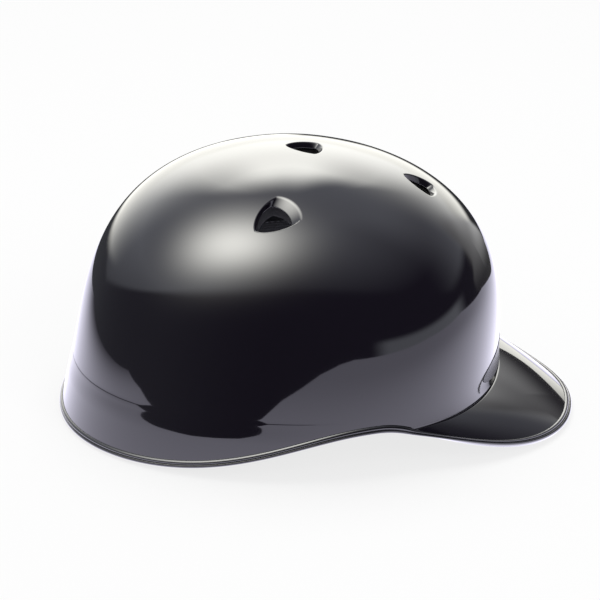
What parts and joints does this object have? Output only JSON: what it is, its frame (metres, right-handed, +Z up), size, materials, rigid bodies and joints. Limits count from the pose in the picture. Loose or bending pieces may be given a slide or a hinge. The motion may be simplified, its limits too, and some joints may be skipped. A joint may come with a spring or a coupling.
{
  "type": "baseball catcher helmet",
  "caption": "Skull-cap catcher helmet: moulded shell with a short brim and vents, rubber edge trim, foam liners and soft comfort pads.",
  "frame": {"origin": "on the plane that the helmet stands on, below the middle of the crown's rim", "axes": "-Y to the brim and the wearer's front, +Z up through the crown, +X to the wearer's left"},
  "size_m": [0.2124, 0.2844, 0.1489],
  "materials": {
    "shell_abs": "gloss black moulded ABS, faintly blue",
    "trim_rubber": "grey-black extruded rubber edge trim, semi-gloss",
    "badge_plastic": "blank dark grey badge, satin",
    "liner_foam": "black moulded EVA foam",
    "hook_tape": "black nylon hook tape",
    "loop_tape": "black nylon loop tape",
    "pad_fabric": "black knitted polyester over soft foam"
  },
  "bodies": {
    "root": {"shell": "shell_abs", "edge_trim": "trim_rubber", "front_badge": "badge_plastic", "crown_liner": "liner_foam", "front_liner": "liner_foam", "rear_liner": "liner_foam", "left_liner": "liner_foam", "right_liner": "liner_foam", "hook_patches": "hook_tape", "loop_patches": "loop_tape", "forehead_pad": "pad_fabric", "nape_pad": "pad_fabric", "left_temple_pad": "pad_fabric", "right_temple_pad": "pad_fabric", "left_crown_pad": "pad_fabric", "right_crown_pad": "pad_fabric", "rear_crown_pad": "pad_fabric"}
  },
  "joints": []
}
